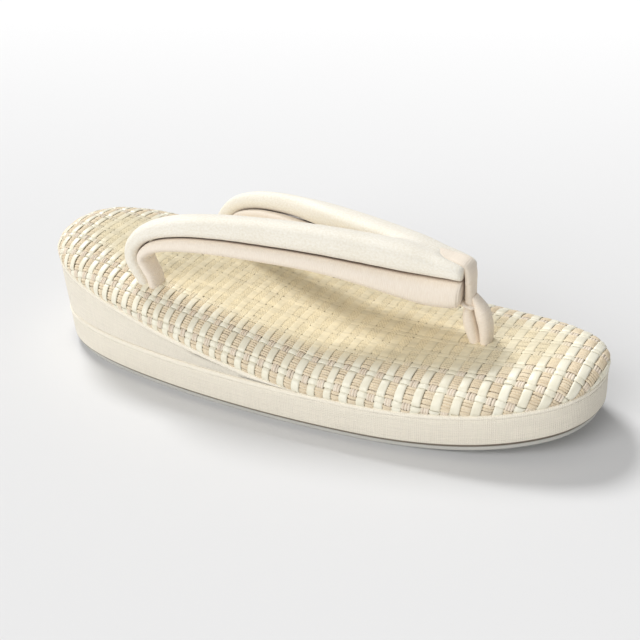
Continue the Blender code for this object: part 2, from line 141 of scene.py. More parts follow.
# Strap sections: run, spread, rise, lean, upper, lining, thick
STRAP = (
    (0.040, 0.100, 0.966, 4.0, 0.46, 0.84, 0.80),
    (0.052, 0.105, 0.966, 4.0, 0.54, 0.94, 0.92),
    (0.088, 0.125, 0.960, 5.0, 0.64, 1.00, 0.97),
    (0.150, 0.170, 0.950, 6.0, 0.76, 1.00, 1.00),
    (0.221, 0.245, 0.950, 8.0, 0.88, 0.88, 1.00),
    (0.353, 0.400, 0.975, 12.0, 0.92, 0.68, 0.92),
    (0.486, 0.545, 1.000, 14.0, 0.90, 0.57, 0.86),
    (0.624, 0.685, 1.000, 14.0, 0.86, 0.54, 0.82),
    (0.760, 0.815, 0.985, 12.0, 0.78, 0.52, 0.79),
    (0.880, 0.920, 0.925, 9.0, 0.70, 0.49, 0.76),
    (0.968, 0.985, 0.800, 6.0, 0.62, 0.43, 0.73),
    (1.016, 1.010, 0.620, 3.0, 0.55, 0.38, 0.70),
    (1.030, 1.015, 0.450, 1.0, 0.50, 0.36, 0.67),
    (1.020, 1.008, 0.290, 0.0, 0.46, 0.36, 0.64),
    (1.006, 1.000, 0.140, 0.0, 0.44, 0.36, 0.61),
    (1.000, 1.000, 0.000, 0.0, 0.43, 0.36, 0.60),
    (1.000, 1.000, -0.110, 0.0, 0.43, 0.36, 0.60),
)


def smooth(keys, values, at, level_ends=False):
    keys = np.asarray(keys, float)
    values = np.asarray(values, float)
    slopes = np.gradient(values, keys)
    if level_ends:
        slopes[[0, -1]] = 0.0
    at = np.clip(at, keys[0], keys[-1])
    i = np.clip(np.searchsorted(keys, at, side="right") - 1, 0, len(keys) - 2)
    width = keys[i + 1] - keys[i]
    t = (at - keys[i]) / width
    first = (2 * t ** 3 - 3 * t ** 2 + 1) * values[i] + (t ** 3 - 2 * t ** 2 + t) * width * slopes[i]
    second = (3 * t ** 2 - 2 * t ** 3) * values[i + 1] + (t ** 3 - t ** 2) * width * slopes[i + 1]
    return first + second


def ease(t):
    t = np.clip(t, 0, 1)
    return t * t * (3 - 2 * t)


def half_width(angle):
    keys, values = np.array(OUTLINE).T
    return BALL_WIDTH / 2 * smooth(np.radians(keys), values, angle, True) * np.sin(angle)


def spring(x):
    share = np.clip((x - SPRING_START) / (LENGTH / 2 - SPRING_START), 0, None)
    return TOE_SPRING * share ** 2


def rise(x):
    share = np.clip((WEDGE_START - x) / (WEDGE_START + LENGTH / 2), 0, None)
    return HEEL_RISE * share ** WEDGE_CURVE


def base_floor(x):
    return spring(x) + OUTSOLE_THICK + CLEARANCE


def base_top(x):
    return base_floor(x) + BASE_THICK


def cover_floor(x):
    return base_top(x) + rise(x) + CLEARANCE


# Mesh helpers

def quads(rows, cols, wrap):
    """Faces of a grid of rows by cols, closed across its columns if wrap is set."""
    last = cols if wrap else cols - 1
    r, c = np.meshgrid(np.arange(rows - 1), np.arange(last), indexing="ij")
    n = (c + 1) % cols
    faces = np.stack([r * cols + c, r * cols + n, (r + 1) * cols + n, (r + 1) * cols + c], -1)
    return faces.reshape(-1, 4)


def make(name, verts, faces, uv=None, tone=None, period=None):
    """Mesh object from arrays of points and quads, with a map place and a tone for each point.

    period is the map's length round a closed mesh, added where a face runs over its start.
    """
    mesh = bpy.data.meshes.new(name)
    verts = np.asarray(verts, np.float32).reshape(-1, 3)
    faces = np.asarray(faces, np.int32)
    mesh.vertices.add(len(verts))
    mesh.vertices.foreach_set("co", verts.ravel())
    mesh.loops.add(faces.size)
    mesh.loops.foreach_set("vertex_index", faces.ravel())
    mesh.polygons.add(len(faces))
    mesh.polygons.foreach_set("loop_start", np.arange(0, faces.size, faces.shape[1], dtype=np.int32))
    mesh.update(calc_edges=True)
    if uv is not None:
        layer = mesh.uv_layers.new(name="uv")
        corners = np.asarray(uv, np.float32).reshape(-1, 2)[faces]
        if period:
            u = corners[..., 0]
            u[u.max(1, keepdims=True) - u > period / 2] += period
        layer.data.foreach_set("uv", corners.ravel())
    if tone is not None:
        layer = mesh.attributes.new("tone", "FLOAT", "POINT")
        layer.data.foreach_set("value", np.asarray(tone, np.float32).ravel())
    mesh.validate()
    mesh.shade_smooth()
    obj = bpy.data.objects.new(name, mesh)
    bpy.context.scene.collection.objects.link(obj)
    return obj


def dress(obj, material, nodes=()):
    obj.data.materials.clear()
    obj.data.materials.append(material)
    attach(obj, "root")
    if nodes:
        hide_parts(*nodes)
    return obj


# Material helpers

class Look:
    """A Principled material with short calls for its nodes."""

    def __init__(self, name, colour, roughness):
        self.material = bpy.data.materials.new(name)
        self.material.use_nodes = True
        self.tree = self.material.node_tree
        self.shader = self.tree.nodes["Principled BSDF"]
        self.shader.inputs["Base Color"].default_value = (*colour, 1)
        self.shader.inputs["Roughness"].default_value = roughness

    def feed(self, socket, value):
        """Links another node's output to the socket, or sets its number, vector or colour."""
        if hasattr(value, "is_output"):
            self.tree.links.new(value, socket)
        elif socket.type == "RGBA":
            socket.default_value = (*value, 1)
        else:
            socket.default_value = value

    def set(self, **sockets):
        for name, value in sockets.items():
            self.shader.inputs[name.replace("_", " ")].default_value = value
        return self

    def node(self, kind, props=None, **sockets):
        node = self.tree.nodes.new("ShaderNode" + kind)
        for name, value in (props or {}).items():
            setattr(node, name, value)
        for name, value in sockets.items():
            self.feed(node.inputs[name.replace("_", " ")], value)
        return node

    def math(self, operation, first, second=0.0):
        node = self.node("Math", {"operation": operation})
        for socket, value in zip(node.inputs, (first, second)):
            self.feed(socket, value)
        return node.outputs[0]

    def total(self, *terms):
        """Sum of values, each times its weight."""
        products = [self.math("MULTIPLY", value, weight) for value, weight in terms]
        result = products[0]
        for product in products[1:]:
            result = self.math("ADD", result, product)
        return result

    def wave(self, value):
        """Sine of the value, moved to run from 0 to 1."""
        return self.math("ADD", self.math("MULTIPLY", self.math("SINE", value), 0.5), 0.5)

    def map_parts(self):
        return self.node("SeparateXYZ", Vector=self.place("UV", (1, 1, 1))).outputs

    def strip_tone(self, number):
        """A tone of its own for each strip, by the whole part of its number."""
        whole = self.math("FLOOR", number)
        return self.node("TexWhiteNoise", {"noise_dimensions": "1D"}, W=whole).outputs["Value"]

    def place(self, source, scale):
        """Coordinates from the map or the object, times a scale for each axis."""
        coords = self.node("TexCoord").outputs[source]
        return self.node("Mapping", Vector=coords, Scale=scale).outputs[0]

    def noise(self, vector, scale, detail=3.0, roughness=0.5):
        node = self.node("TexNoise", Vector=vector, Scale=scale, Detail=detail, Roughness=roughness)
        return node.outputs["Fac"]

    def share(self, value, low, high):
        """How far the value is on the way from low to high, 0 to 1."""
        return self.node("MapRange", Value=value, From_Min=low, From_Max=high).outputs[0]

    def tone(self, low, high):
        """The mesh's tone attribute, a mask for painted shade, highlight and sheen, from low to high, as 0
        to 1.
        """
        return self.share(self.node("Attribute", {"attribute_name": "tone"}).outputs["Fac"], low, high)

    def blend(self, factor, first, second):
        mix = self.node("Mix", {"data_type": "RGBA"}, Factor=factor)
        self.feed(mix.inputs[6], first)
        self.feed(mix.inputs[7], second)
        return mix.outputs[2]

    def ramp(self, value, low, high, colour_low, colour_high):
        return self.blend(self.share(value, low, high), colour_low, colour_high)

    def sheen_at_rim(self, textured, dull_middle):
        """The textured colour along the rim, brighter as a painted sheen, and the duller middle colour in
        soft random blotches where the foot treads and the weave lies flat.
        """
        blotch = self.noise(self.place("Object", (150, 330, 330)), 1.0, 3.0, 0.6)
        blotched = self.ramp(blotch, 0.34, 0.66, tint(dull_middle, 0.86), tint(dull_middle, 1.05))
        return self.blend(self.tone(0.0, 1.0), textured, blotched)

    def paint(self, colour):
        self.tree.links.new(colour, self.shader.inputs["Base Color"])

    def rough(self, value):
        self.tree.links.new(value, self.shader.inputs["Roughness"])

    def bump(self, height, distance, strength=1.0):
        node = self.node("Bump", Height=height, Distance=distance, Strength=strength)
        self.tree.links.new(node.outputs[0], self.shader.inputs["Normal"])


def tint(colour, factor):
    return tuple(min(1.0, c * factor) for c in colour)


def threads(look, u, v, pitch, wobble):
    """Heights of two crossed sets of threads, each a little uneven, 0 to 1."""
    turn = 2 * math.pi / pitch
    uneven = look.noise(look.node("CombineXYZ", X=u, Y=v).outputs[0], 900.0)
    across = look.math("MULTIPLY", uneven, wobble)
    warp = look.math("SINE", look.math("ADD", look.math("MULTIPLY", u, turn), across))
    weft = look.math("SINE", look.math("ADD", look.math("MULTIPLY", v, turn), across))
    return look.math("ADD", look.math("MULTIPLY", look.math("MAXIMUM", warp, weft), 0.5), 0.5)


def linen(name, colour):
    """Fine plain cloth with slubs, glued round a sole layer, its folded top edge painted paler as a
    highlight and its bottom edge painted dark as shade.
    """
    look = Look(name, colour, 0.86).set(Sheen_Weight=0.15, Sheen_Roughness=0.5)
    parts = look.map_parts()
    weave = threads(look, parts[0], parts[1], 0.00075, 2.2)
    level = look.noise(look.place("UV", (60, 2400, 1)), 1.0, 4.0, 0.6)
    upright = look.noise(look.place("UV", (2400, 90, 1)), 1.0, 4.0, 0.6)
    slubs = look.math("ADD", level, upright)
    tone = look.total((slubs, 0.8), (weave, 0.25))
    cloth = look.ramp(tone, 0.50, 1.30, tint(colour, 0.84), tint(colour, 1.04))
    # Painted highlight: tone 1 rows along the folded top edge are paler.
    fold_highlighted = look.blend(look.tone(0.0, 1.0), cloth, tint(colour, 1.06))
    # Painted shade: tone -1 rows along the bottom edge take the dark gap shade.
    look.paint(look.blend(look.tone(-1.0, 0.0), GAP_SHADE, fold_highlighted))
    look.bump(look.total((weave, 1.0), (slubs, 1.4)), 0.00022, 0.7)
    return look.material


def satin_straw(name, colour, shade, dull_middle):
    """Flat pale straw: streaked along its length, softly glossy, painted brighter along the rim as a sheen
    and duller in the flat middle where the foot treads.
    """
    look = Look(name, colour, 0.38).set(Coat_Weight=0.30, Coat_Roughness=0.35)
    parts = look.map_parts()
    own = look.strip_tone(parts[1])
    streak = look.noise(look.place("UV", (90, 11, 1)), 1.0, 5.0, 0.65)
    patch = look.noise(look.place("UV", (130, 1, 1)), 1.0, 2.0, 0.5)
    tone = look.total((streak, 0.7), (own, 0.30), (patch, 0.35))
    textured = look.ramp(tone, 0.40, 1.05, shade, colour)
    # Painted sheen: brighter along the rim than in the flat middle.
    look.paint(look.sheen_at_rim(textured, dull_middle))
    look.rough(look.math("ADD", look.total((streak, 0.25), (look.tone(0.0, 1.0), 0.32)), 0.26))
    look.bump(streak, 0.00012, 0.5)
    return look.material


def spun_straw(name, colour, shade, dull_middle):
    """Thin tan yarn: twisted, fibrous and matte."""
    look = Look(name, colour, 0.82).set(Sheen_Weight=0.10)
    parts = look.map_parts()
    own = look.strip_tone(parts[1])
    twist = look.wave(look.total((parts[0], 5200.0), (parts[1], 4.0)))
    fibre = look.noise(look.place("UV", (500, 6, 1)), 1.0, 4.0, 0.6)
    patch = look.noise(look.place("UV", (70, 0.3, 1)), 1.0, 2.0, 0.5)
    tone = look.total((fibre, 0.6), (own, 0.30), (patch, 0.45))
    textured = look.ramp(tone, 0.35, 1.05, shade, colour)
    # Painted sheen: brighter along the rim than in the flat middle.
    look.paint(look.sheen_at_rim(textured, dull_middle))
    look.bump(look.total((twist, 0.6), (fibre, 1.0)), 0.00012, 0.6)
    return look.material


def crepe(name, colour, shade, pebble):
    """Fine crinkled cloth with a soft sheen."""
    look = Look(name, colour, 0.62).set(Sheen_Weight=0.25, Sheen_Roughness=0.45)
    grain = look.noise(look.place("UV", (1, 1, 1)), 1 / pebble, 4.0, 0.6)
    broad = look.noise(look.place("Object", (1, 1, 1)), 60.0, 2.0, 0.5)
    parts = look.map_parts()
    weave = threads(look, parts[0], parts[1], 0.00055, 2.5)
    tone = look.total((grain, 0.75), (broad, 0.25))
    # Painted shade along the seam crease, by the tone near the seam.
    look.paint(look.blend(look.tone(0.0, 1.0), look.ramp(tone, 0.36, 0.62, shade, colour), SEAM_SHADE))
    look.bump(look.total((grain, 1.0), (weave, 0.25)), 0.00030, 0.6)
    return look.material


def ribbed(name, colour, shade, pitch):
    """Matte cloth with fine ribs across the strap."""
    look = Look(name, colour, 0.80).set(Sheen_Weight=0.20, Sheen_Roughness=0.5)
    parts = look.map_parts()
    drift = look.noise(look.place("UV", (1, 1, 1)), 250.0)
    rib = look.wave(look.total((parts[0], 2 * math.pi / pitch), (drift, 5.0)))
    fibre = look.noise(look.place("UV", (2200, 260, 1)), 1.0, 4.0, 0.6)
    tone = look.total((fibre, 0.9), (rib, 0.12))
    # Painted shade along the seam crease, by the tone near the seam.
    look.paint(look.blend(look.tone(0.0, 1.0), look.ramp(tone, 0.30, 0.85, shade, colour), SEAM_SHADE))
    look.bump(look.total((rib, 0.5), (fibre, 1.0)), 0.00020, 0.55)
    return look.material


def rubber(name, colour, flat_middle=None):
    """Plain specked sheet with painted shade on its tone -1 rows, also used for the ground under the weave,
    whose dark colour is painted shade in the gaps.
    """
    look = Look(name, colour, 0.55)
    speck = look.noise(look.place("Object", (1, 1, 1)), 1500.0, 3.0, 0.6)
    cloud = look.noise(look.place("Object", (1, 1, 1)), 45.0, 3.0, 0.5)
    tone = look.total((speck, 0.4), (cloud, 0.6))
    textured = look.ramp(tone, 0.3, 0.7, tint(colour, 0.92), tint(colour, 1.05))
    textured = look.blend(look.tone(0.0, 1.0), textured, flat_middle or colour)
    # Painted shade: tone -1 rows take the dark gap shade.
    look.paint(look.blend(look.tone(-1.0, 0.0), GAP_SHADE, textured))
    look.bump(speck, 0.00008, 0.4)
    return look.material


# Painted shade in the gap between the sole's wall and the outsole.
GAP_SHADE = (0.130, 0.090, 0.050)
# Painted shade in the crease where the upper and lining tubes meet.
SEAM_SHADE = (0.240, 0.120, 0.055)
WALL = linen("wall linen", (0.945, 0.880, 0.745))
OUTSOLE = rubber("outsole rubber", (0.620, 0.610, 0.560))
# The straw colours are brighter than their middle colours: a painted sheen along the rim of the cover.
PALE = satin_straw("pale straw", (0.975, 0.950, 0.810), (0.870, 0.810, 0.630), (0.830, 0.735, 0.510))
TAN = spun_straw("tan straw", (0.920, 0.800, 0.600), (0.720, 0.590, 0.410), (0.820, 0.715, 0.480))
FAWN = spun_straw("fawn straw", (0.960, 0.860, 0.720), (0.780, 0.660, 0.520), (0.820, 0.720, 0.490))
# Painted shade: the backing's dark brown shows as shade in the gaps between strips, darker at the rim than
# in the flat middle.
SHADED_BACKING = rubber("weave backing", (0.420, 0.320, 0.190), (0.680, 0.575, 0.370))
UPPER = crepe("strap crepe", (0.985, 0.945, 0.845), (0.890, 0.830, 0.700), 0.0010)
LINING = ribbed("lining cloth", (0.990, 0.905, 0.790), (0.900, 0.790, 0.660), 0.00065)
POST = ribbed("post cloth", (0.985, 0.895, 0.775), (0.890, 0.780, 0.650), 0.00060)


# Sole

def ring(angles, inset, z_of, depth):
    """Closed loop round the outline, right side heel to toe and back along the left."""
    reach = LENGTH / 2 - inset
    x = -reach * np.cos(angles)
    x = x + HEEL_TUCK * depth * np.clip(np.cos(angles), 0, 1) ** 2
    y = half_width(angles) * (1 - inset / (BALL_WIDTH / 2))
    z = z_of(x)
    right = np.stack([x, -y, z], -1)
    left = np.stack([x, y, z], -1)[1:-1][::-1]
    return np.concatenate([right, left])


def along_loop(loop):
    step = np.cumsum(np.linalg.norm(np.diff(loop, axis=0, append=loop[:1]), axis=1))
    return np.concatenate([[0], step[:-1]]), step[-1]


def wall(name, floor, top, depths, profile, tones, last=math.pi):
    """Solid layer from a profile of rows, each an inset in mm, share of the height and lift in mm."""
    angles = np.linspace(0, last, WALL_STATIONS)
    rows = []
    for inset, share, lift in profile:
        def z_of(x):
            tall = top(x) - floor(x)
            scale = np.clip(tall / FOLD_ROOM, 0, 1)
            return floor(x) + share * tall + lift * MM * scale
        depth = depths[0] + share * (depths[1] - depths[0])
        rows.append(ring(angles, inset * MM, z_of, depth))
    rows = np.array(rows)
    along, period = along_loop(rows[len(rows) // 2])
    up = np.cumsum(np.concatenate([[0], np.linalg.norm(np.diff(rows, axis=0), axis=2).mean(1)]))
    uv = np.stack(np.broadcast_arrays(along[None, :], up[:, None]), -1)
    total = rows.shape[1]
    faces = quads(len(rows), total, True)
    obj = make(name, rows, faces, uv, np.repeat(tones, total), period)
    bm = bmesh.new()
    bm.from_mesh(obj.data)
    bm.verts.ensure_lookup_table()
    for start, flip in ((0, True), ((len(rows) - 1) * total, False)):
        loop = [bm.verts[start + i] for i in range(total)]
        half = total // 2
        for i in range(half):
            j = (total - i) % total
            face = [loop[i], loop[i + 1], loop[(total - i - 1) % total], loop[j]]
            unique = list(dict.fromkeys(face))
            if len(unique) > 2:
                bm.faces.new(unique[::-1] if flip else unique).smooth = True
    bmesh.ops.recalc_face_normals(bm, faces=bm.faces)
    bm.to_mesh(obj.data)
    bm.free()
    return obj


FOLDED = (
    (3.0, 0.0, 0.0), (1.0, 0.0, 0.0), (0.35, 0.0, 0.12), (0.08, 0.0, 0.45), (0.0, 0.0, 1.0),
    (-0.05, 0.25, 0.0), (-0.10, 0.5, 0.0), (-0.08, 0.75, 0.0), (0.0, 1.0, -2.05),
    (0.12, 1.0, -1.90), (-0.18, 1.0, -1.62), (-0.28, 1.0, -1.15), (-0.20, 1.0, -0.60),
    (0.08, 1.0, -0.20), (0.45, 1.0, 0.0), (1.4, 1.0, 0.02), (4.0, 1.0, 0.0),
)
# Tone of each row: -1 is painted shade along the bottom edge, 1 a painted highlight on the folded top edge.
FOLDED_SHADE_AND_HIGHLIGHT = (-1, -1, -1, -1, 0, 0, 0, 0, 0, 0.4, 1, 1, 1, 1, 1, 1, 1)


def build_sole():
    heel = BASE_THICK / (BASE_THICK + HEEL_RISE)
    obj = wall("base_wrap", base_floor, base_top, (1.0, 1.0 - heel), FOLDED, FOLDED_SHADE_AND_HIGHLIGHT)
    dress(obj, WALL, ["base_layer"])
    nose = math.acos(-(WEDGE_START - WEDGE_NOSE) / (LENGTH / 2))
    # The wedge takes the painted highlight on its fold but no painted shade at its bottom.
    tones = (0,) * 5 + FOLDED_SHADE_AND_HIGHLIGHT[5:]
    obj = wall("wedge_wrap", lambda x: base_top(x) + CLEARANCE / 3, lambda x: base_top(x) + rise(x),
               (1.0 - heel, 0.0), FOLDED, tones, nose)
    dress(obj, WALL, ["heel_wedge"])
    edge = OUTSOLE_INSET / MM
    profile = (
        (edge + 3.0, 0.0, 0.0), (edge + 0.8, 0.0, 0.0), (edge + 0.25, 0.0, 0.14),
        (edge + 0.02, 0.0, 0.6), (edge, 0.6, 0.0), (edge + 0.08, 1.0, -0.55),
        (edge + 0.4, 1.0, -0.05), (edge + 2.0, 1.0, 0.0),
    )
    # The outsole's top rows are painted with the shade under the wall's edge.
    tones = (0, 0, 0, 0, 0, -1, -1, -1)
    obj = wall("outsole_sheet", spring, lambda x: spring(x) + OUTSOLE_THICK, (1.0, 1.0), profile, tones)
    dress(obj, OUTSOLE, ["outsole"])


# Cover: a flat woven sheet wrapped over the padded form

class Sheet:
    """Maps places on the flat sheet, in mm, to places and normals on the padded cover."""

    def __init__(self):
        keys = np.arange(len(COVER_PROFILE), dtype=float)
        inward, tall = np.array(COVER_PROFILE).T
        at = np.linspace(0, keys[-1], 900)
        inward, tall = smooth(keys, inward, at), smooth(keys, tall, at)
        step = np.hypot(np.diff(inward), np.diff(tall))
        self.arc = np.concatenate([[0], np.cumsum(step)])
        self.inward, self.tall = inward, tall
        self.extra = float(self.arc[-1] - inward[-1])
        angles = np.linspace(0, math.pi, 900)
        self.rim = np.stack([-LENGTH / 2 * np.cos(angles), half_width(angles)], -1) / MM
        tangent = np.gradient(self.rim, axis=0)
        tangent /= np.linalg.norm(tangent, axis=1)[:, None]
        self.out = np.stack([-tangent[:, 1], tangent[:, 0]], -1)
        self.step = 0.6
        self.low = -(LENGTH / 2 / MM + self.extra + 2)
        self.nx = int(-2 * self.low / self.step) + 1
        self.ny = int((BALL_WIDTH / 2 / MM + self.extra + 2) / self.step) + 1
        x = self.low + np.arange(self.nx) * self.step
        y = (np.arange(self.ny + 2) - 1) * self.step
        grid = np.stack(np.meshgrid(x, y, indexing="ij"), -1)
        self.place, self.edge = self.solve(grid)
        along = np.gradient(self.place, axis=0)
        across = np.gradient(self.place, axis=1)
        normal = np.cross(along, across)
        self.normal = normal / np.maximum(np.linalg.norm(normal, axis=2), 1e-9)[..., None]

    def solve(self, grid):
        flat = grid.reshape(-1, 2)
        near = np.empty(len(flat), int)
        for start in range(0, len(flat), 4000):
            gap = flat[start:start + 4000, None, :] - self.rim[None]
            near[start:start + 4000] = np.argmin(np.einsum("ijk,ijk->ij", gap, gap), axis=1)
        foot, out = self.rim[near], self.out[near]
        inside = -np.einsum("ij,ij->i", flat - foot, out)
        slide = (flat - foot) + out * inside[:, None]
        edge = inside + self.extra
        arc = np.clip(edge, 0, self.arc[-1])
        inward = np.interp(arc, self.arc, self.inward)
        tall = np.interp(arc, self.arc, self.tall)
        deep = inside > self.inward[-1] - 0.5
        inward = np.where(deep, inside, inward)
        plan = foot + slide - out * inward[:, None]
        z = cover_floor(plan[:, 0] * MM) / MM + tall
        place = np.concatenate([plan, z[:, None]], 1)
        return place.reshape(*grid.shape[:-1], 3), edge.reshape(grid.shape[:-1])

    def sample(self, table, x, y):
        fx = np.clip((x - self.low) / self.step, 0, self.nx - 1.001)
        fy = np.clip(np.abs(y) / self.step + 1, 0, self.ny + 0.999)
        i, j = fx.astype(int), fy.astype(int)
        s, t = fx - i, fy - j
        if table.ndim == 3:
            s, t = s[..., None], t[..., None]
        low = table[i, j] * (1 - s) + table[i + 1, j] * s
        high = table[i, j + 1] * (1 - s) + table[i + 1, j + 1] * s
        return low * (1 - t) + high * t

    def point(self, x, y, lift):
        """Place on the cover, in metres, at sheet place x, y, raised along the normal by lift."""
        side = np.where(y < 0, -1.0, 1.0)[..., None]
        flip = side * np.array([0.0, 1.0, 0.0]) + np.array([1.0, 0.0, 1.0])
        place = self.sample(self.place, x, y) * flip
        normal = self.sample(self.normal, x, y) * flip
        normal /= np.maximum(np.linalg.norm(normal, axis=-1), 1e-9)[..., None]
        return (place + normal * lift[..., None]) * MM

    def span(self, fixed, along_x):
        """Range of the free coordinate where a straight strip lies on the sheet."""
        reach = -self.low if along_x else (self.ny - 1) * self.step
        free = np.linspace(-reach, reach, 1201)
        still = np.full_like(free, fixed)
        x, y = (free, still) if along_x else (still, free)
        on = self.sample(self.edge, x, y) > SEAM_MARGIN
        if not on.any():
            return None
        return free[on][0], free[on][-1]


def cross_place(k):
    """Sheet place, in mm, of the crosswise ribbon with number k: they widen towards the toe."""
    k = np.asarray(k, float)
    bent = np.maximum(k, -9.0)
    return 1.3 + 6.3 * bent + 0.052 * bent ** 2 + 5.36 * (k - bent)


NUMBERS = np.linspace(-30, 30, 601)
PLACES = cross_place(NUMBERS)


def off_ribbon(x):
    """Distance to the middle of the nearest ribbon, and the pitch there."""
    number = np.interp(x, PLACES, NUMBERS)
    pitch = np.interp(x, PLACES, np.gradient(PLACES, NUMBERS))
    return np.abs(number - np.round(number)) * pitch, pitch


def off_bundle(y):
    """Distance to the middle of the nearest lengthwise bundle."""
    return np.abs((y / PITCH_Y + 0.5) % 1.0 - 0.5) * PITCH_Y


def within(off, half):
    """1 well inside a band of that half width, falling to 0 outside."""
    return 1 - ease((off - half + 0.45) / 0.95)


def bow(off, half):
    return np.clip(1 - (off / half) ** 2, 0, 1)


def flat_middle(sheet, x, y):
    """1 where the foot has pressed the weave flat and its colour lacks the rim's painted sheen, 0 along the
    rim and towards the toe.
    """
    inner = ease((sheet.sample(sheet.edge, x, y) - TREAD_START) / TREAD_FADE)
    return inner * (1 - TOE_RELIEF_AND_SHEEN * ease((x - TOE_START) / TOE_FADE))


def weave_strips(sheet, name, lines, along_x, section, height, step):
    """One mesh of strips. A line is its place, number, half width and phase of its wobble."""
    points, faces, uvs, tones = [], [], [], []
    base = 0
    shape = np.array(section)
    for place, number, half, phase in lines:
        ends = sheet.span(place, along_x)
        if ends is None or ends[1] - ends[0] < 3.0:
            continue
        count = max(int((ends[1] - ends[0]) / step), 6)
        free = np.linspace(ends[0], ends[1], count)
        wander = 0.10 * np.sin(free / 9.0 + phase) + 0.06 * np.sin(free / 3.7 + 2.3 * phase)
        still = place + wander[:, None] + half * shape[None, :, 0]
        run = np.broadcast_to(free[:, None], still.shape)
        x, y = (run, still) if along_x else (still, run)
        flat = flat_middle(sheet, x, y)
        lift = height(free)[:, None] + shape[None, :, 1]
        lift = PRESSED_LEVEL + (lift - PRESSED_LEVEL) * (1 - PRESSED * flat)
        # The tone carries the flat middle, where the colour loses the painted rim sheen.
        tones.append(flat.ravel())
        points.append(sheet.point(x, y, lift).reshape(-1, 3))
        faces.append(quads(count, len(shape), False) + base)
        share = (shape[None, :, 0] + 1.02) / 2.05
        uvs.append(np.stack(np.broadcast_arrays(free[:, None] * MM, number + share), -1).reshape(-1, 2))
        base += count * len(shape)
    return make(name, *(np.concatenate(part) for part in (points, faces, uvs, tones)))


FLAT = ((-1.0, -0.32), (-0.96, -0.10), (-0.62, 0.02), (0.0, 0.06), (0.62, 0.02), (0.96, -0.10), (1.0, -0.32))
ROUND = ((-1.0, -0.22), (-0.62, 0.04), (0.0, 0.16), (0.62, 0.04), (1.0, -0.22))


def build_cover():
    sheet = Sheet()
    half_b = BUNDLE / 2

    def ribbon_height(y):
        off = off_bundle(y)
        return 0.28 + WAVE * (2 * within(off, half_b) - 1) + 0.14 * bow(off, half_b)

    def cross_yarn_height(y):
        off = off_bundle(y)
        return 0.10 - WAVE * (2 * within(off, half_b) - 1)

    def strip_height(x):
        off, pitch = off_ribbon(x)
        half = RIBBON_SHARE / 2 * pitch
        return 0.20 + WAVE * (2 * within(off, half) - 1) + 0.10 * bow(off, half)

    def long_yarn_height(x):
        off, pitch = off_ribbon(x)
        half = RIBBON_SHARE / 2 * pitch
        return 0.10 - WAVE * (2 * within(off, half) - 1) + 0.10 * bow(pitch / 2 - off, pitch / 2 - half)

    reach_y = int(52 / PITCH_Y) + 1

    def jitter(size):
        return float(rng.normal(0, size))

    numbers = range(-24, 20)
    pitches = {k: float(cross_place(k + 0.5) - cross_place(k - 0.5)) for k in numbers}
    ribbons = [(float(cross_place(k)) + jitter(0.10), 100 + k,
                RIBBON_SHARE / 2 * pitches[k] * (1 + jitter(0.04)), jitter(3)) for k in numbers]
    strips = [((k + 0.5) * PITCH_Y + jitter(0.10), 200 + k, STRIP / 2 * (1 + jitter(0.04)), jitter(3))
              for k in range(-reach_y - 1, reach_y + 1)]
    middle = (CROSS_YARNS - 1) / 2
    cross = [(float(cross_place(k + 0.5)) + (j - middle) * YARN_SHARE * pitches[k] + jitter(0.04),
              300 + CROSS_YARNS * k + j, YARN_SHARE * 0.53 * pitches[k], jitter(3))
             for k in numbers for j in range(CROSS_YARNS)]
    long = [(k * PITCH_Y + (j - (YARNS - 1) / 2) * YARN_Y + jitter(0.04), 600 + YARNS * k + j,
             YARN_Y * 0.50, jitter(3)) for k in range(-reach_y, reach_y + 1) for j in range(YARNS)]

    obj = weave_strips(sheet, "weave_ribbons", ribbons, False, FLAT, ribbon_height, 0.7)
    dress(obj, PALE, ["top_cover"])
    obj = weave_strips(sheet, "weave_strips", strips, True, FLAT, strip_height, 0.7)
    dress(obj, PALE)
    obj = weave_strips(sheet, "weave_cross_yarns", cross, False, ROUND, cross_yarn_height, 0.8)
    dress(obj, FAWN)
    obj = weave_strips(sheet, "weave_long_yarns", long, True, ROUND, long_yarn_height, 0.85)
    dress(obj, TAN)

    # Backing under the weave, dark as painted shade in the gaps between strips
    nx, ny = 190, 70
    x = np.linspace(sheet.low + 2, -sheet.low - 2, nx)
    rows = []
    for value in x:
        ends = sheet.span(value, False) or (-0.5, 0.5)
        rows.append(np.linspace(ends[0], ends[1], ny))
    y = np.array(rows)
    x = np.broadcast_to(x[:, None], y.shape)
    grid = sheet.point(x, y, np.full(y.shape, -BACKING_DEPTH))
    uv = np.stack([x * MM, y * MM], -1)
    obj = make("weave_backing", grid, quads(nx, ny, False), uv, flat_middle(sheet, x, y))
    dress(obj, SHADED_BACKING)
    return sheet


# Straps

def cover_top(sheet, x, y):
    """Height of the cover over a plan place, in metres."""
    grid = sheet.place.reshape(-1, 3)
    gap = (grid[:, 0] - x / MM) ** 2 + (grid[:, 1] - abs(y) / MM) ** 2
    return float(grid[np.argmin(gap), 2]) * MM


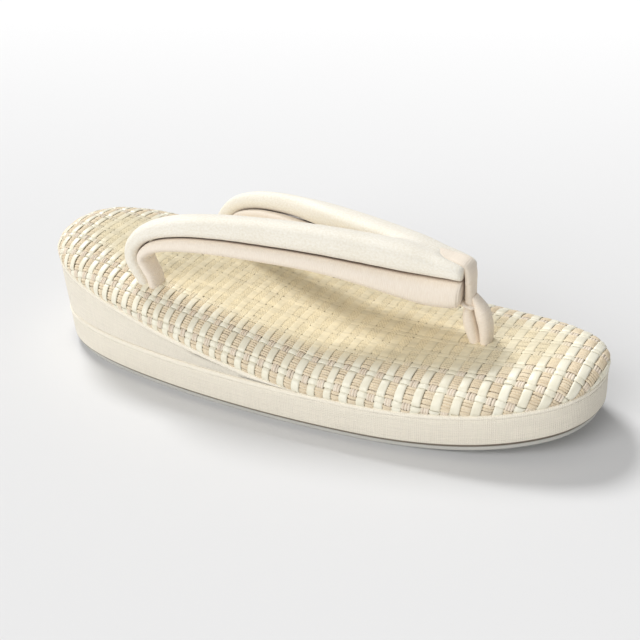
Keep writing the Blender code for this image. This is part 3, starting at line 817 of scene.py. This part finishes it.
def strap_frames(side, front_z, rear_z, count=150):
    table = np.array(STRAP)
    keys = np.arange(len(table), dtype=float)
    at = np.linspace(0, keys[-1], count)
    run, spread, lift, lean, upper, lining, thick = (smooth(keys, table[:, k], at) for k in range(7))
    shift = side * REAR_HOLE_STAGGER * np.clip(2 * run - 1, 0, 1)
    x = POST_X - run * (POST_X - REAR_HOLE_X) + shift
    y = side * spread * REAR_HOLE_HALF_SPREAD
    z = front_z + run * (rear_z - front_z) + lift * STRAP_HEIGHT
    lean = lean + SINK_LEAN * ease((run - SINK_START) / SINK_RUN) * (side > 0) * np.clip(lift, 0, 1)
    places = np.stack([x, y, z], -1)
    along = np.gradient(places, axis=0)
    soft = along.copy()
    for _ in range(6):
        soft[1:-1] = (soft[:-2] + 2 * soft[1:-1] + soft[2:]) / 4
    along = soft / np.linalg.norm(soft, axis=1)[:, None]
    across = np.tile(np.array([0.0, side, 0.0]), (count, 1))
    across -= along * np.einsum("ij,ij->i", across, along)[:, None]
    across /= np.linalg.norm(across, axis=1)[:, None]
    up = np.cross(across, along) * side
    lean = np.radians(lean)[:, None]
    turned_up = up * np.cos(lean) - across * np.sin(lean)
    turned_across = across * np.cos(lean) + up * np.sin(lean)
    arc = np.concatenate([[0], np.cumsum(np.linalg.norm(np.diff(places, axis=0), axis=1))])
    return places, turned_up, turned_across, arc, upper, lining, thick


def tube(frames, tall, thick, sign, around=44, square=0.78):
    """Soft tube above or below the seam, with the cloth drawn in along the seam."""
    places, up, across, arc = frames[:4]
    angle = 2 * math.pi * (np.arange(around) + 0.5) / around - math.pi / 2
    c, s = np.cos(angle), np.sin(angle)
    wide = np.sign(c) * np.abs(c) ** square
    rise_share = 0.5 + 0.5 * np.sign(s) * np.abs(s) ** square
    near_seam = np.clip(1 - rise_share / 0.34, 0, 1)
    half = STRAP_HALF_THICK * thick[:, None] * wide[None]
    lift = sign * (0.00008 + rise_share[None] * tall[:, None])
    pucker = 0.00010 * np.sin(arc[:, None] / 0.0016 + np.sin(arc[:, None] / 0.007) * 2)
    half = half * (1 - 0.06 * near_seam[None] ** 2) + pucker * near_seam[None] * np.sign(wide)[None]
    points = places[:, None] + across[:, None] * half[..., None] + up[:, None] * lift[..., None]
    # Tone near the seam: a mask for the painted shade in the crease between the tubes.
    tone = np.broadcast_to(np.clip(1 - rise_share / 0.055, 0, 1)[None], lift.shape)
    round_step = np.hypot(np.diff(wide) * STRAP_HALF_THICK, np.diff(rise_share) * UPPER_TUBE)
    girth = np.concatenate([[0], np.cumsum(round_step)])
    uv = np.stack(np.broadcast_arrays(arc[:, None], girth[None]), -1)
    return points, uv, tone


def cap_ends(bm, rows, around):
    """Closes both ends of a tube made of rows of points."""
    bm.verts.ensure_lookup_table()
    last = (rows - 1) * around
    bm.faces.new([bm.verts[i] for i in range(around)][::-1])
    bm.faces.new([bm.verts[last + i] for i in range(around)])


def half_mesh(points, uv, tone, side, name, front_z, rear_z):
    """Closed tube of one side, cut off at the middle plane."""
    rows, around = points.shape[:2]
    obj = make(name, points, quads(rows, around, True), uv, tone)
    bm = bmesh.new()
    bm.from_mesh(obj.data)
    cap_ends(bm, rows, around)
    geometry = bm.verts[:] + bm.edges[:] + bm.faces[:]
    bmesh.ops.bisect_plane(bm, geom=geometry, dist=1e-6, plane_co=(0, 0, 0),
                           plane_no=(0, side, 0), clear_inner=True)
    for v in bm.verts:
        if v.co.y > 1e-6:
            run = (POST_X - v.co.x) / (POST_X - REAR_HOLE_X)
            share = (v.co.z - front_z - run * (rear_z - front_z)) / (STRAP_HEIGHT * SINK_FADE)
            v.co.z -= SINK_SLOPE * v.co.y * min(max(share, 0.0), 1.0)
    bm.to_mesh(obj.data)
    bm.free()
    mesh = obj.data
    bpy.data.objects.remove(obj)
    return mesh


def build_strap(name, part, sign, front_z, rear_z, material, node):
    bm = bmesh.new()
    for side in (-1, 1):
        frames = strap_frames(side, front_z, rear_z)
        full = UPPER_TUBE if part == "upper" else LINING_TUBE
        tall = full * (frames[4] if part == "upper" else frames[5])
        mesh = half_mesh(*tube(frames, tall, frames[6], sign), side, name + "_half", front_z, rear_z)
        bm.from_mesh(mesh)
        bpy.data.meshes.remove(mesh)
    bmesh.ops.remove_doubles(bm, verts=bm.verts, dist=4e-6)
    joint = [v for v in bm.verts if abs(v.co.y) < 0.0030 and v.co.x > 0.0]
    for _ in range(14):
        bmesh.ops.smooth_vert(bm, verts=joint, factor=0.5, use_axis_x=True, use_axis_y=True, use_axis_z=True)
    if part == "upper":
        for v in bm.verts:
            x, y = v.co.x / MM, v.co.y / MM
            dent = NOSE_DENT * math.exp(-(y / 4.2) ** 4) * float(ease((x - 53.0) / 8.0))
            above = (v.co.z - front_z) / MM - 0.966 * STRAP_HEIGHT / MM
            v.co.z -= dent * MM * min(max(above / 5.5, 0.0), 1.0)
    bmesh.ops.recalc_face_normals(bm, faces=bm.faces)
    mesh = bpy.data.meshes.new(name)
    bm.to_mesh(mesh)
    bm.free()
    mesh.shade_smooth()
    obj = bpy.data.objects.new(name, mesh)
    bpy.context.scene.collection.objects.link(obj)
    dress(obj, material, [node])
    return obj


# Toe post

def band(name, path, wide, thick, squares=(0.6, 0.8), around=32):
    """Rounded flat band along a path of x and z places in the middle plane."""
    path = np.asarray(path)
    along = np.gradient(path, axis=0)
    along /= np.linalg.norm(along, axis=1)[:, None]
    out = np.stack([-along[:, 1], np.zeros(len(along)), along[:, 0]], -1)
    angle = 2 * math.pi * (np.arange(around) + 0.5) / around
    c, s = np.cos(angle), np.sin(angle)
    across = np.sign(c) * np.abs(c) ** squares[0]
    depth = np.sign(s) * np.abs(s) ** squares[1]
    centre = np.stack([path[:, 0], np.zeros(len(path)), path[:, 1]], -1)
    points = centre[:, None] + out[:, None] * (depth[None] * thick[:, None] / 2)[..., None]
    points[..., 1] += across[None] * wide[:, None] / 2
    arc = np.concatenate([[0], np.cumsum(np.linalg.norm(np.diff(path, axis=0), axis=1))])
    girth = np.concatenate([[0], np.cumsum(np.hypot(np.diff(across), np.diff(depth)))]) * 0.004
    uv = np.stack(np.broadcast_arrays(arc[:, None], girth[None]), -1)
    obj = make(name, points, quads(len(path), around, True), uv)
    bm = bmesh.new()
    bm.from_mesh(obj.data)
    cap_ends(bm, len(path), around)
    bmesh.ops.recalc_face_normals(bm, faces=bm.faces)
    bm.to_mesh(obj.data)
    bm.free()
    obj.data.shade_smooth()
    return obj


def through(points, count):
    """Smooth path and sizes through a few rows of numbers."""
    points = np.array(points, float)
    keys = np.arange(len(points), dtype=float)
    at = np.linspace(0, keys[-1], count)
    return [smooth(keys, points[:, k], at) for k in range(points.shape[1])]


def collar(place, half_x, half_y, thick, slant, count=48, around=14):
    """Ring of drawn-in cloth round the tie; place is x and z, sizes in mm."""
    turn = 2 * math.pi * np.arange(count)[:, None] / count
    angle = 2 * math.pi * np.arange(around)[None] / around
    swell = thick * (1 + 0.18 * np.sin(5 * turn) + 0.10 * np.sin(11 * turn + 1))
    reach = swell * np.cos(angle)
    x = place[0] + (half_x + reach) * np.cos(turn)
    y = (half_y + reach) * np.sin(turn)
    z = place[1] + 0.75 * swell * np.sin(angle) + slant * (x - place[0])
    points = np.stack([x, y, z], -1) * MM
    uv = np.stack(np.broadcast_arrays(turn * half_y * MM, angle * thick * MM), -1)
    return points, quads(count + 1, around, True) % (count * around), uv


def crest(obj, x, half):
    """Height of the object's top, in mm, over a place x on the middle plane and beside it."""
    mesh = obj.data
    tree = BVHTree.FromPolygons([v.co for v in mesh.vertices], [p.vertices for p in mesh.polygons])
    hits = [tree.ray_cast(Vector((x * MM, y * MM, 1)), Vector((0, 0, -1)))[0] for y in (-half, 0, half)]
    return max(hit.z for hit in hits if hit) / MM


def build_post(strap):
    tie = float(cover_floor(POST_X)) + COVER_CROWN + POST_TIE_HEIGHT
    x, z, wide, thick = through((
        (52.5, crest(strap, 52.5, 1.5) - 1.1, 5.6, 1.0),
        (56.0, crest(strap, 56.0, 2.0) - 0.5, 6.8, 1.4),
        (59.5, crest(strap, 59.5, 2.5) + 0.3, 7.8, 1.9),
        (63.0, crest(strap, 63.0, 2.5) + 0.9, 8.3, 2.2),
        (65.8, crest(strap, 64.5, 2.5) + 0.3, 8.5, 2.6),
        (67.0, crest(strap, 64.5, 2.5) - 2.6, 8.5, 3.0),
        (67.2, crest(strap, 64.5, 2.5) - 6.0, 8.4, 3.1),
        (67.2, tie / MM + 10.5, 8.0, 3.1),
        (67.2, tie / MM + 6.0, 7.4, 3.1),
        (67.2, tie / MM + 2.5, 6.6, 3.4),
        (67.3, tie / MM + 0.2, 5.9, 4.0),
    ), 60)
    obj = band("post_band", np.stack([x, z], -1) * MM, wide * MM, thick * MM)
    dress(obj, POST, ["toe_post"])
    ground = float(cover_floor(POST_X) + COVER_CROWN) / MM
    middle = (tie / MM + ground) / 2
    for name, rows in (
        ("post_leg_back", (
            (67.2, tie / MM + 1.2, 5.0, 2.4), (66.6, tie / MM - 1.6, 6.6, 3.6),
            (66.9, middle + 1.2, 7.6, 4.9), (68.2, ground + 3.4, 7.5, 4.8),
            (69.4, ground - 0.6, 7.0, 4.4), (69.6, ground - 5.0, 6.6, 4.0))),
        ("post_leg_front", (
            (68.6, tie / MM + 3.8, 4.6, 1.6), (70.2, tie / MM + 1.0, 6.2, 3.6),
            (71.9, tie / MM - 2.4, 7.6, 5.2), (73.2, middle + 0.4, 7.9, 5.2),
            (73.7, ground + 3.2, 7.6, 4.8), (73.7, ground - 0.8, 7.0, 4.3),
            (73.7, ground - 5.0, 6.6, 4.0))),
    ):
        x, z, wide, thick = through(rows, 40)
        obj = band(name, np.stack([x, z], -1) * MM, wide * MM, thick * MM, (0.8, 0.95))
        dress(obj, POST)
    obj = make("post_collar", *collar((67.0, tie / MM + 0.6), 2.9, 3.9, 0.95, -0.25))
    dress(obj, POST)


# Stage, light and camera

def build_stage():
    verts = [(FLOOR_REACH * x, FLOOR_REACH * y, 0) for x, y in ((-1, -1), (1, -1), (1, 1), (-1, 1))]
    floor = make("floor", verts, [[0, 1, 2, 3]])
    look = Look("floor", (0.80, 0.80, 0.80), 0.95)
    # Painted light: the floor's colour brightens away from the camera.
    away = look.node("SeparateXYZ", Vector=look.place("Object", (-0.25, 1.0, 1.0))).outputs
    away = look.math("ADD", away[0], away[1])
    look.paint(look.ramp(away, 0.02, 0.55, FLOOR_NEAR, FLOOR_AWAY))
    floor.data.materials.append(look.material)
    floor.location.z = -FLOOR_DROP
    world = bpy.data.worlds.new("studio")
    world.use_nodes = True
    world.node_tree.nodes["Background"].inputs["Color"].default_value = (1, 1, 1, 1)
    world.node_tree.nodes["Background"].inputs["Strength"].default_value = WORLD_LIGHT
    bpy.context.scene.world = world
    bpy.context.scene.view_settings.view_transform = "Standard"
    for name, place, spread, power in SUNS:
        light = bpy.data.lights.new(name, "SUN")
        light.angle = math.radians(spread)
        light.energy = power
        obj = bpy.data.objects.new(name, light)
        bpy.context.scene.collection.objects.link(obj)
        obj.rotation_mode = "QUATERNION"
        obj.rotation_quaternion = Vector(place).to_track_quat("Z", "Y")


def build_camera():
    data = bpy.data.cameras.new("camera")
    data.lens = FOCAL
    data.sensor_width = 36.0
    data.clip_start = 0.01
    camera = bpy.data.objects.new("camera", data)
    bpy.context.scene.collection.objects.link(camera)
    eye = Vector(EYE) * MM
    back = (eye - Vector(AIM) * MM).normalized()
    right = Vector((0, 0, 1)).cross(back).normalized()
    up = back.cross(right)
    turn = math.radians(ROLL)
    right, up = (right * math.cos(turn) + up * math.sin(turn),
                 up * math.cos(turn) - right * math.sin(turn))
    matrix = Matrix((right, up, back)).transposed().to_4x4()
    matrix.translation = eye
    camera.matrix_world = matrix
    bpy.context.scene.camera = camera


build_camera()
build_stage()
build_sole()
cover_sheet = build_cover()
front = float(cover_floor(POST_X)) + COVER_CROWN
rear = cover_top(cover_sheet, REAR_HOLE_X, REAR_HOLE_HALF_SPREAD)
upper = build_strap("strap_upper_tube", "upper", 1, front, rear, UPPER, "strap_upper")
build_strap("strap_lining_tube", "lining", -1, front, rear, LINING, "strap_lining")
build_post(upper)
